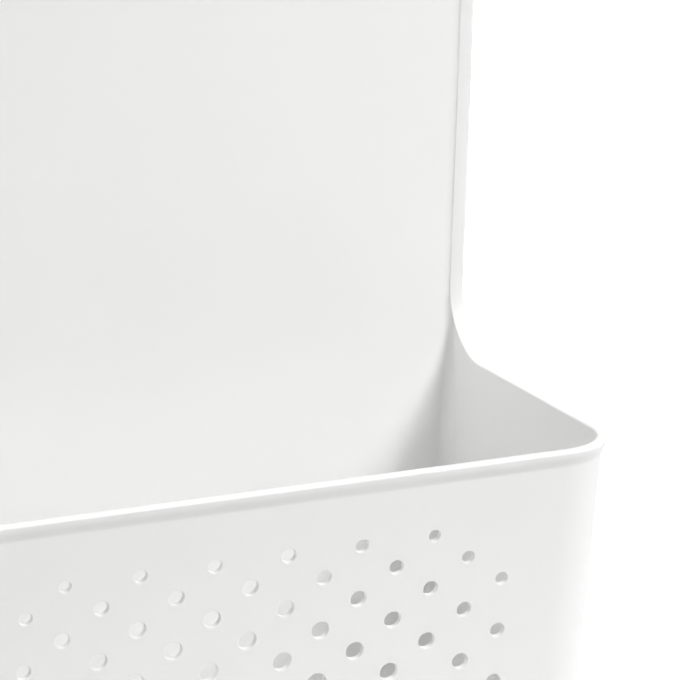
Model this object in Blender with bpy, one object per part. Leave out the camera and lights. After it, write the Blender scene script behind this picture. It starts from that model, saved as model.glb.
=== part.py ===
"""Cabinet door organizer: a moulded basket with a tall back panel on two door hooks.

Every size is in metres, +Z is up and the basket faces -Y.
The basket stands on z = 0 and is symmetric about x = 0.
"""

import math

import bmesh
import bpy
from mathutils import Vector

# Basket body, outside sizes
RIM_HEIGHT = 0.160
PANEL_HEIGHT = 0.345
BASKET_DEPTH = 0.1222
FRONT_LEAN = math.radians(8.96)
WALL = 0.0020
RIM_HALF_WIDTH = 0.1275
BACK_TOE_IN = 0.0012
PANEL_STEP_IN = 0.0034
BASKET_DRAFT_SHARE = 0.0148
PANEL_FLARE_SHARE = 0.0472
FRONT_CORNER_RADIUS = 0.0200
RIM_BACK_RADIUS = 0.0050
FLOOR_BACK_RADIUS = 0.0140
PANEL_EDGE_RADIUS = 0.0035
FLOOR_EDGE_RADIUS = 0.0080
PANEL_CORNER_RADIUS = 0.0160

# Rim, sweep and flange
SWEEP_RADIUS = 0.0090
FLANGE_DEPTH = 0.0065
FLANGE_DEPTH_TOP = 0.0045
BLEND_HEIGHT = 0.0250
LIP_OVERHANG = 0.0020
LIP_OVERHANG_PANEL = 0.0008
LIP_DROP = 0.0035

# Graded hole pattern of the front wall
HOLE_PITCH = 0.0250
ROW_PITCH = 0.0092
FIRST_ROW_DROP = 0.0238
HOLE_ROWS = 13
WIDE_ROW_REACH = 7
HOLE_DIAMETER = 0.0066
HOLE_LOSS_SIDE = 0.0015
HOLE_LOSS_END = 0.00175

# Door hooks
FIT_GAP = 0.0003
DOOR_THICKNESS = 0.0200
STRAP_WIDTH = 0.0220
STRAP_THICKNESS = 0.0015
STRAP_BEND_RADIUS = 0.0020
HOOK_INSET = 0.0516
HOOK_RISE = 0.0050
SHANK_FOOT = 0.0160
TAB_LENGTH = 0.0320
TAB_KICK_LENGTH = 0.0060
TAB_KICK_ANGLE = math.radians(28)
STRAP_CORNER_RADIUS = 0.0060

# Studs of the hooks and the keyholes that they sit in
STUD_DROP = 0.0150
STUD_SPACING = 0.0240
STUD_NECK_RADIUS = 0.0022
STUD_HEAD_RADIUS = 0.0048
STUD_HEAD_THICKNESS = 0.0018
STUD_TAIL_RADIUS = 0.0015
STUD_TAIL_FLARE = 0.0007
KEYHOLE_TRAVEL = 0.0100
KEYHOLE_ENTRY_GAP = 0.0005

# Foam linings and rear bumpers
FOAM_THICKNESS = 0.0012
FOAM_WIDTH = 0.0180
SHANK_FOAM_LENGTH = 0.0240
TOP_FOAM_LENGTH = 0.0160
TAB_FOAM_LENGTH = 0.0220
BUMPER_RADIUS = 0.0060
BUMPER_EDGE = 0.0008
BUMPER_INSET = 0.0290
BUMPER_HEIGHT = 0.0260

# Facets of round forms
CORNER_STEPS = 8
BEND_STEPS = 6
HOLE_STEPS = 16
STUD_STEPS = 24

# How far cutters run past what they cut, and how close points are merged
OVERRUN = 0.0100
MERGE_DISTANCE = 0.00001

# Places that follow from the sizes
HOOK_INSIDE = DOOR_THICKNESS + 2 * (FOAM_THICKNESS + FIT_GAP)
KICK_REACH = TAB_KICK_LENGTH * math.sin(TAB_KICK_ANGLE)
HOOK_REACH = FIT_GAP + 2 * STRAP_THICKNESS + HOOK_INSIDE + KICK_REACH
FULL_DEPTH = LIP_OVERHANG / math.cos(FRONT_LEAN) + BASKET_DEPTH + HOOK_REACH
BACK_Y = FULL_DEPTH / 2 - HOOK_REACH
FRONT_RIM_Y = BACK_Y - BASKET_DEPTH
PANEL_Y = BACK_Y - WALL
LEAN = math.tan(FRONT_LEAN)
BLEND_TOP = RIM_HEIGHT + BLEND_HEIGHT
STRAP_Y = BACK_Y + FIT_GAP
STRAP_TOP = PANEL_HEIGHT + LIP_OVERHANG_PANEL + HOOK_RISE
UPPER_STUD_HEIGHT = PANEL_HEIGHT - STUD_DROP
LOWER_STUD_HEIGHT = UPPER_STUD_HEIGHT - STUD_SPACING
SHANK_BOTTOM = LOWER_STUD_HEIGHT - SHANK_FOOT
BUMPER_THICKNESS = STRAP_THICKNESS + FOAM_THICKNESS + FIT_GAP


def clear_scene():
    """Remove what the file holds, so that the script starts from nothing."""
    for item in list(bpy.data.objects):
        bpy.data.objects.remove(item, do_unlink=True)


def make_material(name, colour, roughness, metallic=0.0):
    """Return a plain surface of one colour."""
    material = bpy.data.materials.new(name)
    material.use_nodes = True
    shader = material.node_tree.nodes["Principled BSDF"]
    shader.inputs["Base Color"].default_value = (*colour, 1.0)
    shader.inputs["Roughness"].default_value = roughness
    shader.inputs["Metallic"].default_value = metallic
    return material


def add_object(name, mesh_data, material=None, location=(0, 0, 0), parent=None):
    """Turn a bmesh into an object of the scene."""
    bmesh.ops.recalc_face_normals(mesh_data, faces=mesh_data.faces)
    mesh = bpy.data.meshes.new(name)
    mesh_data.to_mesh(mesh)
    mesh_data.free()
    item = bpy.data.objects.new(name, mesh)
    item.location = location
    item.parent = parent
    if material is not None:
        mesh.materials.append(material)
    bpy.context.scene.collection.objects.link(item)
    return item


def mark_as_helper(item):
    """Show a cutter as a wire only."""
    item.hide_render = True
    item.display_type = "WIRE"
    return item


def combine(item, other, operation):
    """Add an exact Boolean of one object with another."""
    modifier = item.modifiers.new(operation.title(), "BOOLEAN")
    modifier.operation = operation
    modifier.solver = "EXACT"
    modifier.object = other


def smooth_step(value):
    """Rise from 0 to 1 with a level start and end."""
    value = min(max(value, 0.0), 1.0)
    return value * value * (3 - 2 * value)


def front_half_width(z):
    """Half the basket's width at its front wall."""
    return RIM_HALF_WIDTH - BASKET_DRAFT_SHARE * (RIM_HEIGHT - min(z, RIM_HEIGHT))


def back_half_width(z):
    """Half the width at the back: drafted below the rim, flared up the panel."""
    basket = front_half_width(z) - BACK_TOE_IN
    panel = RIM_HALF_WIDTH - PANEL_STEP_IN + PANEL_FLARE_SHARE * (z - BLEND_TOP)
    share = smooth_step((z - RIM_HEIGHT) / BLEND_HEIGHT)
    return basket + (panel - basket) * share


def hook_middle():
    """Distance of each hook's middle from the middle of the organizer."""
    return back_half_width(PANEL_HEIGHT) - HOOK_INSET


def back_radius(z):
    """Radius of the upright back corner: wide at the floor, tight on the panel."""
    if z < RIM_HEIGHT:
        share = z / RIM_HEIGHT
        return FLOOR_BACK_RADIUS + (RIM_BACK_RADIUS - FLOOR_BACK_RADIUS) * share
    share = smooth_step((z - RIM_HEIGHT) / BLEND_HEIGHT)
    return RIM_BACK_RADIUS + (PANEL_EDGE_RADIUS - RIM_BACK_RADIUS) * share


def round_corner(before, corner, after, radius):
    """Return the points of an arc that rounds one corner of an outline."""
    to_before = (before - corner).normalized()
    to_after = (after - corner).normalized()
    half_angle = to_before.angle(to_after) / 2
    reach = radius / math.tan(half_angle)
    centre = corner + (to_before + to_after).normalized() * (radius / math.sin(half_angle))
    start = corner + to_before * reach - centre
    sweep = start.angle_signed(corner + to_after * reach - centre)
    points = []
    for step in range(CORNER_STEPS + 1):
        turn = -sweep * step / CORNER_STEPS
        x = start.x * math.cos(turn) - start.y * math.sin(turn)
        y = start.x * math.sin(turn) + start.y * math.cos(turn)
        points.append(centre + Vector((x, y)))
    return points


def plan_outline(z, grow, side_inset):
    """Return the rounded plan outline at one height.

    grow moves every wall outwards; side_inset moves the side walls inwards
    for the rounded top corners of the panel.
    """
    front_y = FRONT_RIM_Y + (RIM_HEIGHT - z) * LEAN - grow / math.cos(FRONT_LEAN)
    back_y = BACK_Y + grow
    span = BASKET_DEPTH - (RIM_HEIGHT - z) * LEAN
    slope = (back_half_width(z) - front_half_width(z)) / span
    side_grow = grow * math.sqrt(1 + slope * slope) - side_inset
    front_x = front_half_width(z) + side_grow - slope * grow / math.cos(FRONT_LEAN)
    back_x = back_half_width(z) + side_grow + slope * grow
    corners = [
        Vector((-front_x, front_y)),
        Vector((front_x, front_y)),
        Vector((back_x, back_y)),
        Vector((-back_x, back_y)),
    ]
    front_radius = FRONT_CORNER_RADIUS + grow
    rear_radius = back_radius(z) + grow
    radii = [front_radius, front_radius, rear_radius, rear_radius]
    outline = []
    for index, corner in enumerate(corners):
        before = corners[index - 1]
        after = corners[(index + 1) % len(corners)]
        outline += round_corner(before, corner, after, radii[index])
    return [Vector((point.x, point.y, z)) for point in outline]


def loft(outlines):
    """Skin a stack of outlines and close its two ends."""
    mesh_data = bmesh.new()
    rings = [[mesh_data.verts.new(point) for point in outline] for outline in outlines]
    count = len(rings[0])
    for lower, upper in zip(rings, rings[1:]):
        for index in range(count):
            following = (index + 1) % count
            mesh_data.faces.new((lower[index], lower[following], upper[following], upper[index]))
    mesh_data.faces.new(rings[0])
    mesh_data.faces.new(rings[-1])
    return mesh_data


def upper_outlines(grow_basket, grow_panel):
    """Outlines above the rim: the blend, the panel and its rounded top corners."""
    outlines = []
    for step in range(BEND_STEPS):
        share = (step + 1) / BEND_STEPS
        grow = grow_basket + (grow_panel - grow_basket) * smooth_step(share)
        outlines.append(plan_outline(RIM_HEIGHT + BLEND_HEIGHT * share, grow, 0.0))
    radius = PANEL_CORNER_RADIUS + grow_panel
    start = PANEL_HEIGHT - PANEL_CORNER_RADIUS
    for step in range(CORNER_STEPS + 1):
        turn = math.radians(90) * step / CORNER_STEPS
        inset = radius * (1 - math.cos(turn))
        outlines.append(plan_outline(start + radius * math.sin(turn), grow_panel, inset))
    return outlines


def shell_outlines(grow):
    """Outlines of the whole body moved by grow, with a rounded floor edge."""
    radius = FLOOR_EDGE_RADIUS + grow
    outlines = []
    for step in range(BEND_STEPS + 1):
        turn = math.radians(90) * step / BEND_STEPS
        height = FLOOR_EDGE_RADIUS - radius * math.cos(turn)
        inset = radius * (1 - math.sin(turn))
        outlines.append(plan_outline(height, grow - inset, 0.0))
    outlines.append(plan_outline(RIM_HEIGHT, grow, 0.0))
    return outlines + upper_outlines(grow, grow)


def lip_outlines():
    """Outlines of the body with its lip overhang, from just under the rim."""
    outlines = [plan_outline(RIM_HEIGHT - LIP_DROP - OVERRUN, LIP_OVERHANG, 0.0)]
    outlines.append(plan_outline(RIM_HEIGHT, LIP_OVERHANG, 0.0))
    return outlines + upper_outlines(LIP_OVERHANG, LIP_OVERHANG_PANEL)


def space_outline(offset):
    """Side view of the open space over the rim and in front of the flange.

    Its lower and rear limit is the line of the rim, the sweep and the flange
    edge. A positive offset moves that line down and back, into the body.
    """
    sweep_top = RIM_HEIGHT + SWEEP_RADIUS
    flange_y = PANEL_Y - FLANGE_DEPTH
    top = PANEL_HEIGHT + OVERRUN
    lean = (FLANGE_DEPTH - FLANGE_DEPTH_TOP) / (PANEL_HEIGHT - sweep_top)
    centre_y = flange_y - SWEEP_RADIUS
    radius = SWEEP_RADIUS + offset
    far_front = FRONT_RIM_Y - LEAN * PANEL_HEIGHT
    points = [(far_front, RIM_HEIGHT - offset)]
    for step in range(CORNER_STEPS + 1):
        turn = math.radians(90) * step / CORNER_STEPS
        points.append((centre_y + radius * math.sin(turn), sweep_top - radius * math.cos(turn)))
    points.append((flange_y + offset + lean * (top - sweep_top), top))
    points.append((far_front, top))
    return points


def prism_along_x(outline, start, end):
    """Extrude a closed side-view outline of (y, z) points along X."""
    mesh_data = bmesh.new()
    corners = [mesh_data.verts.new((start, y, z)) for y, z in outline]
    face = mesh_data.faces.new(corners)
    grown = bmesh.ops.extrude_face_region(mesh_data, geom=[face])
    moved = [item for item in grown["geom"] if isinstance(item, bmesh.types.BMVert)]
    bmesh.ops.translate(mesh_data, verts=moved, vec=(end - start, 0, 0))
    return mesh_data


def turned_solid(profile, steps):
    """Spin an open (radius, y) profile about the Y axis into a closed solid."""
    mesh_data = bmesh.new()
    points = [mesh_data.verts.new((radius, y, 0)) for radius, y in profile]
    edges = [mesh_data.edges.new(pair) for pair in zip(points, points[1:])]
    bmesh.ops.spin(
        mesh_data,
        geom=points + edges,
        cent=(0, 0, 0),
        axis=(0, 1, 0),
        angle=math.radians(360),
        steps=steps,
        use_merge=True,
    )
    bmesh.ops.remove_doubles(mesh_data, verts=mesh_data.verts, dist=MERGE_DISTANCE)
    return mesh_data


def hole_diameter(column, row):
    """Diameter of one hole: widest in the middle of the pattern."""
    side = column / WIDE_ROW_REACH
    end = 2 * row / (HOLE_ROWS - 1) - 1
    return HOLE_DIAMETER - HOLE_LOSS_SIDE * side * side - HOLE_LOSS_END * end * end


def hole_cutter():
    """Build the pins of the staggered hole pattern, square to the front wall."""
    mesh_data = bmesh.new()
    across = Vector((1, 0, 0))
    down = Vector((0, math.sin(FRONT_LEAN), -math.cos(FRONT_LEAN)))
    inward = across.cross(down)
    first = Vector((0, FRONT_RIM_Y, RIM_HEIGHT)) + down * FIRST_ROW_DROP
    for row in range(HOLE_ROWS):
        end_row = row in (0, HOLE_ROWS - 1)
        reach = WIDE_ROW_REACH - 1 + (row + 1) % 2 - 2 * end_row
        for column in range(-reach, reach + 1, 2):
            centre = first + across * (column * HOLE_PITCH / 2) + down * (row * ROW_PITCH)
            radius = hole_diameter(column, row) / 2
            rings = []
            for depth in (-OVERRUN, WALL + OVERRUN):
                ring = []
                for step in range(HOLE_STEPS):
                    turn = math.radians(360) * step / HOLE_STEPS
                    spoke = across * math.cos(turn) + down * math.sin(turn)
                    ring.append(mesh_data.verts.new(centre + spoke * radius + inward * depth))
                rings.append(ring)
            for step in range(HOLE_STEPS):
                following = (step + 1) % HOLE_STEPS
                near = rings[0]
                far = rings[1]
                mesh_data.faces.new((near[step], near[following], far[following], far[step]))
            mesh_data.faces.new(rings[0])
            mesh_data.faces.new(rings[1])
    return mark_as_helper(add_object("hole_pins", mesh_data))


def keyhole_cutter(x, stud_height):
    """Build one keyhole pin: a round entry under a narrow slot."""
    slot_radius = STUD_NECK_RADIUS + FIT_GAP
    entry_radius = STUD_HEAD_RADIUS + KEYHOLE_ENTRY_GAP
    entry_height = stud_height - KEYHOLE_TRAVEL
    meet = math.asin(slot_radius / entry_radius)
    outline = []
    for step in range(CORNER_STEPS + 1):
        turn = math.radians(180) * step / CORNER_STEPS
        outline.append((slot_radius * math.cos(turn), stud_height + slot_radius * math.sin(turn)))
    steps = 3 * CORNER_STEPS
    for step in range(steps + 1):
        turn = math.radians(90) + meet + (math.radians(360) - 2 * meet) * step / steps
        outline.append((entry_radius * math.cos(turn), entry_height + entry_radius * math.sin(turn)))
    mesh_data = bmesh.new()
    corners = [mesh_data.verts.new((x + px, PANEL_Y - WALL, pz)) for px, pz in outline]
    face = mesh_data.faces.new(corners)
    grown = bmesh.ops.extrude_face_region(mesh_data, geom=[face])
    moved = [item for item in grown["geom"] if isinstance(item, bmesh.types.BMVert)]
    bmesh.ops.translate(mesh_data, verts=moved, vec=(0, 3 * WALL, 0))
    return mark_as_helper(add_object("keyhole_pin", mesh_data))


def build_body(material):
    """Build the one-piece moulding: basket, back panel, lip, holes and keyholes."""
    body = add_object("basket_body", loft(shell_outlines(0.0)), material)

    lip = mark_as_helper(add_object("lip_band", loft(lip_outlines())))
    width = back_half_width(PANEL_HEIGHT) + OVERRUN
    lip_space = prism_along_x(space_outline(LIP_DROP), -width, width)
    combine(lip, mark_as_helper(add_object("lip_limits", lip_space)), "INTERSECT")
    combine(body, lip, "UNION")

    cavity = mark_as_helper(add_object("basket_hollow", loft(shell_outlines(-WALL))))
    combine(body, cavity, "DIFFERENCE")

    width += OVERRUN
    open_space = prism_along_x(space_outline(0.0), -width, width)
    combine(body, mark_as_helper(add_object("open_space", open_space)), "DIFFERENCE")

    for side in (-1, 1):
        for stud_height in (LOWER_STUD_HEIGHT, UPPER_STUD_HEIGHT):
            pin = keyhole_cutter(side * hook_middle(), stud_height)
            combine(body, pin, "DIFFERENCE")
    combine(body, hole_cutter(), "DIFFERENCE")
    return body


def strap_line(offset):
    """Side view of one face of the strap, from the shank's foot to the tab's tip.

    offset is 0 on the face towards the basket and the strap's thickness on
    the face towards the door.
    """
    shank_y = STRAP_Y + offset
    top_z = STRAP_TOP + STRAP_THICKNESS - offset
    tab_y = STRAP_Y + 2 * STRAP_THICKNESS + HOOK_INSIDE - offset
    radius = STRAP_BEND_RADIUS + STRAP_THICKNESS - offset
    points = [(shank_y, SHANK_BOTTOM)]
    for step in range(BEND_STEPS + 1):
        turn = math.radians(90) * step / BEND_STEPS
        y = shank_y + radius * (1 - math.cos(turn))
        points.append((y, top_z - radius * (1 - math.sin(turn))))
    for step in range(BEND_STEPS + 1):
        turn = math.radians(90) * step / BEND_STEPS
        y = tab_y - radius * (1 - math.sin(turn))
        points.append((y, top_z - radius * (1 - math.cos(turn))))
    kick_shift = offset * math.tan(TAB_KICK_ANGLE / 2)
    kick_z = STRAP_TOP - TAB_LENGTH - kick_shift
    length = TAB_KICK_LENGTH + kick_shift
    tip_y = tab_y + length * math.sin(TAB_KICK_ANGLE)
    points.append((tab_y, kick_z))
    points.append((tip_y, kick_z - length * math.cos(TAB_KICK_ANGLE)))
    return points


def round_strap_ends(mesh_data, end_pairs):
    """Round the outer corners of a strap in its flat view.

    end_pairs holds the two side-view points of each end of the strap.
    """
    chosen = []
    for edge in mesh_data.edges:
        first, second = edge.verts
        across = abs(first.co.x - second.co.x) > FIT_GAP
        for pair in end_pairs:
            reach = [min((Vector(end) - point.co.yz).length for end in pair) for point in edge.verts]
            if max(reach) < FIT_GAP and not across:
                chosen.append(edge)
    bmesh.ops.bevel(
        mesh_data,
        geom=chosen,
        offset=STRAP_CORNER_RADIUS,
        offset_type="OFFSET",
        segments=BEND_STEPS,
        profile=0.5,
        affect="EDGES",
    )


def build_hook(side_name, side, material):
    """Build one bent strap with two holes for its studs."""
    x = side * hook_middle()
    outline = strap_line(0.0) + strap_line(STRAP_THICKNESS)[::-1]
    local = [(y - STRAP_Y, z - LOWER_STUD_HEIGHT) for y, z in outline]
    tip = len(local) // 2
    mesh_data = prism_along_x(local, -STRAP_WIDTH / 2, STRAP_WIDTH / 2)
    round_strap_ends(mesh_data, [(local[0], local[-1]), (local[tip - 1], local[tip])])
    place = (x, STRAP_Y, LOWER_STUD_HEIGHT)
    hook = add_object(f"{side_name}_door_hook", mesh_data, material, place)
    for height in (0.0, STUD_SPACING):
        pin = turned_solid(stud_tail_outline(FIT_GAP, OVERRUN), STUD_STEPS)
        cutter = add_object(f"{side_name}_stud_pin", pin, None, (0, 0, height), hook)
        combine(hook, mark_as_helper(cutter), "DIFFERENCE")
    return hook


def stud_tail_outline(gap, overrun):
    """Profile of a stud's tail in the strap: a stem that widens at the door side."""
    stem = STUD_TAIL_RADIUS + gap
    flare = stem + STUD_TAIL_FLARE
    flare_start = STRAP_THICKNESS - STUD_TAIL_FLARE
    return [
        (0, -overrun),
        (stem, -overrun),
        (stem, flare_start),
        (flare, STRAP_THICKNESS),
        (flare, STRAP_THICKNESS + overrun),
        (0, STRAP_THICKNESS + overrun),
    ]


def build_stud(name, height, material, hook):
    """Build one shouldered stud: domed head, neck in the slot, tail in the strap."""
    neck_end = -FIT_GAP
    neck_start = -(2 * FIT_GAP + WALL + FIT_GAP)
    head_top = neck_start - STUD_HEAD_THICKNESS
    rim = neck_start - STUD_HEAD_THICKNESS / 3
    dome = head_top - rim
    profile = [(0, head_top)]
    for step in range(1, 4):
        turn = math.radians(90) * step / 3
        profile.append((STUD_HEAD_RADIUS * math.sin(turn), rim + dome * math.cos(turn)))
    profile += [(STUD_HEAD_RADIUS, neck_start), (STUD_NECK_RADIUS, neck_start)]
    profile += [(STUD_NECK_RADIUS, neck_end), (STUD_TAIL_RADIUS, neck_end)]
    profile += stud_tail_outline(0.0, 0.0)[2:4]
    profile.append((0, STRAP_THICKNESS))
    return add_object(name, turned_solid(profile, STUD_STEPS), material, (0, 0, height), hook)


def foam_pad(name, size, centre, material, hook):
    """Build one foam lining with its four thin edges rounded in the flat view."""
    mesh_data = bmesh.new()
    bmesh.ops.create_cube(mesh_data, size=1.0)
    bmesh.ops.scale(mesh_data, vec=size, verts=mesh_data.verts)
    thin = min(size)
    short = [edge for edge in mesh_data.edges if edge.calc_length() < thin * 1.01]
    bmesh.ops.bevel(
        mesh_data,
        geom=short,
        offset=thin,
        offset_type="OFFSET",
        segments=3,
        profile=0.5,
        affect="EDGES",
    )
    return add_object(name, mesh_data, material, centre, hook)


def build_linings(side_name, hook, material):
    """Line the door side of a hook: on its shank, under its top and on its tab."""
    shank_y = STRAP_THICKNESS + FIT_GAP + FOAM_THICKNESS / 2
    top_z = STRAP_TOP - LOWER_STUD_HEIGHT
    lining_drop = STRAP_BEND_RADIUS + FOAM_THICKNESS + FIT_GAP
    shank_centre = (0, shank_y, top_z - lining_drop - SHANK_FOAM_LENGTH / 2)
    shank_size = (FOAM_WIDTH, FOAM_THICKNESS, SHANK_FOAM_LENGTH)
    foam_pad(f"{side_name}_shank_foam", shank_size, shank_centre, material, hook)

    middle_y = STRAP_THICKNESS + HOOK_INSIDE / 2
    top_centre = (0, middle_y, top_z - FIT_GAP - FOAM_THICKNESS / 2)
    top_size = (FOAM_WIDTH, TOP_FOAM_LENGTH, FOAM_THICKNESS)
    foam_pad(f"{side_name}_top_foam", top_size, top_centre, material, hook)

    tab_y = 2 * middle_y - shank_y
    tab_centre = (0, tab_y, top_z - lining_drop - TAB_FOAM_LENGTH / 2)
    tab_size = (FOAM_WIDTH, FOAM_THICKNESS, TAB_FOAM_LENGTH)
    foam_pad(f"{side_name}_tab_foam", tab_size, tab_centre, material, hook)


def build_bumper(side_name, side, material):
    """Build one round bumper that holds the basket's back off the door."""
    edge = BUMPER_THICKNESS - BUMPER_EDGE
    profile = [(0, 0), (BUMPER_RADIUS, 0), (BUMPER_RADIUS, edge)]
    for step in range(1, 4):
        turn = math.radians(90) * step / 3
        radius = BUMPER_RADIUS - BUMPER_EDGE * (1 - math.cos(turn))
        profile.append((radius, edge + BUMPER_EDGE * math.sin(turn)))
    profile.append((0, BUMPER_THICKNESS))
    x = side * (back_half_width(BUMPER_HEIGHT) - BUMPER_INSET)
    place = (x, BACK_Y + FIT_GAP, BUMPER_HEIGHT)
    add_object(f"{side_name}_rear_bumper", turned_solid(profile, STUD_STEPS), material, place)


def main():
    """Build the whole organizer."""
    clear_scene()
    plastic = make_material("white_plastic", (0.86, 0.86, 0.85), 0.35)
    steel = make_material("white_coated_steel", (0.82, 0.82, 0.81), 0.30)
    rivet = make_material("bright_steel", (0.62, 0.62, 0.62), 0.25, 1.0)
    foam = make_material("grey_foam", (0.30, 0.30, 0.31), 0.90)
    rubber = make_material("clear_rubber", (0.72, 0.73, 0.72), 0.45)
    build_body(plastic)
    for side_name, side in (("left", -1), ("right", 1)):
        hook = build_hook(side_name, side, steel)
        build_stud(f"{side_name}_lower_stud", 0.0, rivet, hook)
        build_stud(f"{side_name}_upper_stud", STUD_SPACING, rivet, hook)
        build_linings(side_name, hook, foam)
        build_bumper(side_name, side, rubber)


main()
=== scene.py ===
"""Cabinet door organizer: the looks of a moulded basket on two door hooks.

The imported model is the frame. Each operator builds one piece, or a group of
like pieces, in metres and in the frame's own places: +Z is up, the basket
faces -Y and the organizer is symmetric about x = 0.
"""

import math

import bmesh
import bpy
import numpy as np
from bpy.props import FloatProperty, FloatVectorProperty, PointerProperty
from mathutils import Euler, Matrix, Vector
from mathutils.geometry import tessellate_polygon


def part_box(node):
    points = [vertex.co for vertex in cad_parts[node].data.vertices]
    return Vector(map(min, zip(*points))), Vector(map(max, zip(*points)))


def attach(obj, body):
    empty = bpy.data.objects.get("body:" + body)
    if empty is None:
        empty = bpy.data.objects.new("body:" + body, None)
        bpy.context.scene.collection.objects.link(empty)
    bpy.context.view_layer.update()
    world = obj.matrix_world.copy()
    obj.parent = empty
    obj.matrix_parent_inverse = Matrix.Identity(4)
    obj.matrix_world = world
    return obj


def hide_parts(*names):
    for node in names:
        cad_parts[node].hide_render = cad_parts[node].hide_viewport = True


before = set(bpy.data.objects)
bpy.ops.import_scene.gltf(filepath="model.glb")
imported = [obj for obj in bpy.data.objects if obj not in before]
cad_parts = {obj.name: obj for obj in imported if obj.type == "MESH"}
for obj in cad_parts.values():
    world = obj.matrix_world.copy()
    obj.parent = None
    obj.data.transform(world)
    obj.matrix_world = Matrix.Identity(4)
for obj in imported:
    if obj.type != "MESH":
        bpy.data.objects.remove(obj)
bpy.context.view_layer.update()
BODY_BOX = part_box("basket_body")

bl_info = {
    "name": "Cabinet Door Organizer",
    "version": (1, 0, 0),
    "blender": (4, 5, 0),
    "location": "View3D > Sidebar > Organizer",
    "description": "Builds a moulded basket with a tall back panel on two steel door hooks",
    "category": "Object",
}

SIDES = ("left", "right")
STUD_LEVELS = ("lower", "upper")
MIRROR = np.array([-1.0, 1.0, 1.0])
QUARTER = math.pi / 2

# How finely each round form is divided
FILLET_STEPS = 8
WALL_STEPS = 8
FRONT_ARC_STEPS = 16
SIDE_STEPS = 6
SWEEP_STEPS = 14
BACK_ARC_STEPS = 8
BLEND_STEPS = 12
PANEL_STEPS = 8
PANEL_ARC_STEPS = 16
PANEL_TOP_STEPS = 4
LIP_STEPS = 8
HOLE_STEPS = 28
HOLE_EDGE_STEPS = 3
KEYHOLE_STEPS = 12
STRAP_STEPS = 12
STRAP_END_STEPS = 32
STRAP_EDGE_STEPS = 5
LATHE_STEPS = 64
DOME_STEPS = 12
STUD_EDGE_STEPS = 4
BUMPER_EDGE_STEPS = 8
ROUND_STEPS = 96

# Rows of the hole pattern, and its columns on each side of the middle one
HOLE_ROWS = 13
HALF_COLUMNS = 7

# Welding and shading of every mesh, and the attribute that turned pieces carry
WELD_DISTANCE = 2e-6
SHARP_ANGLE = math.radians(60)
FACE_WEIGHT = 60
TURNED_RADIUS = "turned_radius"

# The share of its radius that the strap's edge keeps at the very ends
LEAST_EDGE = 0.02

# A bumper's flank ends at these shares of its radius and height, and its dome
# starts at a share of the radius and a depth under the top; then its radii
BUMPER_FLANK = (0.985, 0.55)
BUMPER_DOME = (0.80, 0.0002)
BUMPER_RADII = (0.0002, 0.0010, 0.0016)

# The power that squares a lining's outline, and its profile from the steel to
# the free face in shares of its size and thickness
LINING_POWER = 0.16
LINING_PROFILE = (
    (0.0, 0.0), (0.6, 0.0), (0.985, 0.0), (1.0, 0.03), (1.0, 0.55), (0.996, 0.78), (0.985, 0.88),
    (0.955, 0.94), (0.90, 0.965), (0.75, 0.985), (0.5, 0.995), (0.25, 1.0), (0.0, 1.0),
)

# The middle of a noise's range, where nearly all of its values lie
NOISE_RANGE = (0.3, 0.7)

# Height of the studio floor, and the radii of its rings
FLOOR_LEVEL = -0.0001
FLOOR_RINGS = (0.0, 0.5, 1.5, 4.0, 12.0)

# Name, size, place and aim of each lamp
LAMPS = (
    ("key", 0.85, (1.04, -1.42, 1.66), (0.12, 0.0, 0.08)),
    ("left", 1.60, (-1.95, -0.75, 1.00), (0.0, 0.0, 0.17)),
    ("right", 1.20, (2.00, -0.60, 0.80), (0.0, 0.0, 0.17)),
    ("top", 0.60, (-0.05, -0.20, 2.00), (0.0, -0.02, 0.05)),
    ("rear", 1.60, (-0.70, 2.30, 1.50), (0.0, 0.0, 0.17)),
)

# The photograph's camera: degrees, millimetres for sensor and lens, and metres
CAMERA_AZIMUTH = 24.5645
CAMERA_ELEVATION = 15.7126
CAMERA_SENSOR = 36.0
CAMERA_LENS = 315.344
CAMERA_PLACE = (-0.70638, -1.68155, 0.70246)
CAMERA_CLIP = (0.05, 40.0)


def length(name, description, default):
    """A size in metres that a user may change."""
    return FloatProperty(
        name=name, description=description, default=default, min=0.0, precision=5,
        subtype="DISTANCE", unit="LENGTH",
    )


def turn(name, description, degrees):
    """An angle that a user may change."""
    return FloatProperty(
        name=name, description=description, default=math.radians(degrees),
        subtype="ANGLE", unit="ROTATION",
    )


def number(name, description, default):
    """A plain number that a user may change."""
    return FloatProperty(name=name, description=description, default=default, precision=4)


def colour(name, description, default):
    """A linear colour that a user may change."""
    return FloatVectorProperty(
        name=name, description=description, default=default, size=3, min=0.0, max=1.0,
        subtype="COLOR",
    )


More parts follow.
